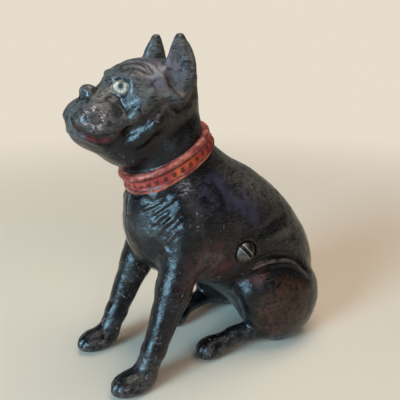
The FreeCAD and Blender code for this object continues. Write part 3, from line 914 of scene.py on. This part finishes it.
    # eye: a worn white almond round a grey ball with a small dark pupil
    from_eye = paint.vector("SUBTRACT", place, tuple(EYE))
    along = paint.dot(from_eye, EYE_ALONG) / EYE_SIZE[0]
    above = paint.dot(from_eye, EYE_UP) / EYE_SIZE[1]
    facing = paint.dot(from_eye, EYE_OUT).rise(-4.0, -3.0)
    almond = along * along * 0.8 + above * above + (fine - 0.5) + (patchy - 0.5) * 0.8
    almond = almond.rise(1.02, 0.84) * facing
    white = mix(fine.rise(0.35, 0.65), (0.68, 0.49, 0.36), (0.32, 0.235, 0.17))
    flaked = patchy.rise(0.50, 0.60) * (along * -0.6 + above * 0.8).rise(-0.2, 0.8)
    flaked = (flaked + speck.rise(0.62, 0.70) * 0.6).rise(0.0, 1.2)
    colour = mix(almond * (1 - flaked), colour, white)
    to_pupil = ((along * EYE_SIZE[0] + 0.9) ** 2.0 + (above * EYE_SIZE[1] - 0.25) ** 2.0) ** 0.5
    to_pupil = to_pupil + (fine - 0.5) * 0.7
    colour = mix(to_pupil.rise(1.5, 1.0) * almond * 0.8, colour, (0.105, 0.100, 0.085))
    colour = mix(to_pupil.rise(0.95, 0.60) * almond, colour, (0.010, 0.009, 0.008))

    # collar: salmon roll above, orange red band with dark studs, thin pink roll below
    from_collar = paint.vector("SUBTRACT", place, tuple(COLLAR))
    up = paint.dot(from_collar, NECK_AXIS)
    ahead = paint.dot(from_collar, NECK_FRONT)
    out = ((x / COLLAR_OVAL) ** 2.0 + ahead * ahead) ** 0.5
    wander = up + (cloud - 0.5) * 0.5
    strap = abs(wander).rise(3.45, 3.2) * out.rise(COLLAR_DEPTH - 2.2, COLLAR_DEPTH - 1.6)
    orange = mix(cloud.rise(0.38, 0.62), (0.56, 0.085, 0.024), (0.30, 0.022, 0.026))
    orange = mix(broad.rise(0.45, 0.6) * 0.5, orange, (0.24, 0.020, 0.030))
    salmon = mix(layers, (0.48, 0.125, 0.082), (0.20, 0.026, 0.022))
    rolls = wander.rise(1.10, 1.30) + wander.rise(-2.1, -2.3)
    red_paint = mix(rolls, orange, salmon)
    angle = (x / COLLAR_OVAL).math("ARCTAN2", -ahead)
    phase = (angle * (STUDS / (2 * math.pi))).math("FRACT") - 0.5
    stud = (phase * phase * 11.0 + ((up + 0.55) / 0.95) ** 2.0 + (fine - 0.5) * 1.1).rise(1.0, 0.55)
    red_paint = mix(stud * patchy.rise(0.30, 0.42) * 0.9, red_paint, (0.060, 0.012, 0.010))
    # dark lines where the rolls meet the band: painted shade in these creases, with dirt
    roll_shade_and_grime = (abs(wander - 1.15).rise(0.40, 0.14) + abs(wander + 2.1).rise(0.32, 0.10)).rise(0.0, 1.0)
    roll_shade_and_grime = roll_shade_and_grime * patchy.rise(0.30, 0.46)
    worn = patchy.rise(0.560, 0.630) * (0.50 + broad.rise(0.4, 0.6) * 0.5)
    red_paint = mix((roll_shade_and_grime * 0.85 + worn * 0.9).rise(0.0, 1.0), red_paint, (0.045, 0.014, 0.011))
    red_paint = mix(chips.rise(0.64, 0.68) * 0.8, red_paint, (0.62, 0.33, 0.25))
    colour = mix(strap, colour, red_paint)

    # old polish and dirt left in the hollows, and painted shade that darkens every hollow
    colour = mix(hollow_dirt_and_shade * 0.7 * (1 - strap * 0.4), colour, (0.006, 0.005, 0.005))

    gloss = 0.02 + cloud * 0.07 + patchy * 0.10 + speck * 0.02
    rough = gloss + bare * 0.22 + rubbed * 0.14 + strap * 0.20 + almond * 0.45 + pink * 0.2 + bloom_and_sheen * 0.05
    # relief: sand of the mould, brushed hair running back from the neck, flaked paint
    coat = y.rise(-8.0, 4.0) * z.rise(22.0, 34.0)
    relief = speck * 0.35 + fine * 0.55 + patchy * 0.65 + hair_streak * (0.5 + coat * 1.5 - ears * 0.4)
    relief = relief - bare * 0.2 - (chipped + pink * 0.8) * 0.45 - rubbed * 0.15
    return paint.finished(paint.principled({"Base Color": colour, "Roughness": rough, "IOR": 1.37,
                                            "Normal": paint.bump(0.75, 0.00022, relief)}))


def dull_steel():
    """Bare, tarnished screw steel, brighter where a driver has rubbed it."""
    steel = Finish(bpy.data.materials.new("dull_screw_steel"))
    place = steel.vector("MULTIPLY", steel.place(), (1000.0, 1000.0, 1000.0))
    cloud = steel.grain(place, 1.8, 4.0, 0.6)
    fine = steel.grain(place, 0.3, 3.0, 0.6)
    scratch = steel.grain(steel.stretched(place, DRIVER_SLOT_TURN, (1.0, 0.2, 3.5)), 0.5, 2.0)
    slot_shade, lip = steel.mark("slot_shade"), steel.mark("lip")
    colour = steel.mix(cloud.rise(0.35, 0.6), (0.18, 0.17, 0.16), (0.070, 0.050, 0.040))
    colour = steel.mix(fine.rise(0.46, 0.66) * 0.8, colour, (0.034, 0.022, 0.017))
    colour = steel.mix(lip * scratch.rise(0.35, 0.55), colour, (0.62, 0.60, 0.56))
    # inside of the driver slot painted near black: painted shade
    colour = steel.mix(slot_shade * 0.95, colour, (0.010, 0.008, 0.007))
    bump = steel.bump(0.5, 0.00008, fine * 0.6 + scratch * 0.6 + cloud)
    return steel.finished(steel.principled(
        {"Base Color": colour, "Metallic": (1 - cloud.rise(0.5, 0.8) * 0.5) * (1 - slot_shade),
         "Roughness": 0.30 + cloud * 0.22 + slot_shade * 0.4, "Normal": bump}))


left_half.data.materials.append(worn_black_enamel(1))
right_half.data.materials.append(worn_black_enamel(-1))
round_head_screw.data.materials.append(dull_steel())
for piece, body, node, slot in ((left_half, "left", "left_casting", "painted_iron"),
                                (right_half, "right", "right_casting", "painted_iron"),
                                (round_head_screw, "fastener", "screw", "steel")):
    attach(piece, body)
    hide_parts(node)


# ---------------- floor, light and camera
BACKDROP = (0.79, 0.72, 0.61, 1)
CAMERA_PLACE = (0.1418, (-81.9 + SHIFT) / 1000, 0.1074)
HEADING, PITCH = math.radians(56.9), math.radians(17.1)


def pale_ground():
    """Large pale floor that curves up behind the dog."""
    ahead, behind, bend, half_width, top = 1.6, 1.1, 0.6, 3.0, 3.0
    profile = [(-ahead, 0.0), (behind, 0.0)]
    for k in range(1, 13):
        turn = math.radians(90 * k / 12)
        profile.append((behind + bend * math.sin(turn), bend - bend * math.cos(turn)))
    profile.append((behind + bend, top))
    facing = Matrix.Rotation(HEADING, 3, "Z")
    points = [facing @ Vector((side, run, height))
              for run, height in profile for side in (-half_width, half_width)]
    faces = [(2 * k, 2 * k + 1, 2 * k + 3, 2 * k + 2) for k in range(len(profile) - 1)]
    mesh = bpy.data.meshes.new("ground")
    mesh.from_pydata(points, [], faces)
    mesh.polygons.foreach_set("use_smooth", [True] * len(faces))
    ground = bpy.data.objects.new("ground", mesh)
    bpy.context.scene.collection.objects.link(ground)
    finish = Finish(bpy.data.materials.new("pale_ground"))
    floor = finish.principled({"Base Color": (0.67, 0.56, 0.45, 1), "Roughness": 0.42})
    wall = finish.node("Emission", None, {"Color": BACKDROP, "Strength": 1.0})
    away = finish.vector("LENGTH", finish.place()).rise(0.09, 0.50)
    seen = finish.node("LightPath")
    mesh.materials.append(finish.finished(finish.node("MixShader", None, [seen * away, floor, wall])))


def hold(name, content, place):
    """Object that holds a lamp or the camera."""
    holder = bpy.data.objects.new(name, content)
    bpy.context.scene.collection.objects.link(holder)
    holder.location = place
    return holder


def lamp(name, place, aim, width, height, power, colour):
    """Soft lamp of that width and height, turned from its place towards the aim."""
    light = bpy.data.lights.new(name, "AREA")
    light.shape, light.size, light.size_y = "RECTANGLE", width, height
    light.energy, light.color = power, colour
    towards = (Vector(aim) - Vector(place)).to_track_quat("-Z", "Y")
    hold(name, light, place).rotation_euler = towards.to_euler()


pale_ground()
lamp("window", (0.26, -1.09, 0.35), (0, -0.01, 0.05), 0.38, 0.56, 24.0, (0.42, 0.76, 1.0))
lamp("ceiling", (0.05, 0.10, 1.0), (0, 0, 0.04), 0.7, 0.7, 7.6, (1.0, 0.92, 0.81))
lamp("fill", (0.95, -0.20, 0.60), (0, 0, 0.05), 0.4, 0.4, 2.5, (1.0, 0.94, 0.88))

# the room: faint light from all round, behind a backdrop that only the camera sees
room = Finish(bpy.data.worlds.new("room"))
dim = room.node("Background", None, {"Color": (1.0, 0.97, 0.92, 1), "Strength": 0.08})
pale = room.node("Background", None, {"Color": BACKDROP, "Strength": 1.0})
seen = room.node("LightPath")
either = room.node("MixShader", None, [seen, dim, pale])
bpy.context.scene.world = room.finished(either, "World")
bpy.context.scene.view_settings.view_transform = "Standard"

camera = bpy.data.cameras.new("camera")
camera.lens, camera.sensor_width = 45.0, 36.0
camera_holder = hold("camera", camera, CAMERA_PLACE)
camera_holder.rotation_euler = (math.pi / 2 - PITCH, 0, HEADING)
bpy.context.scene.camera = camera_holder

bpy.context.view_layer.update()
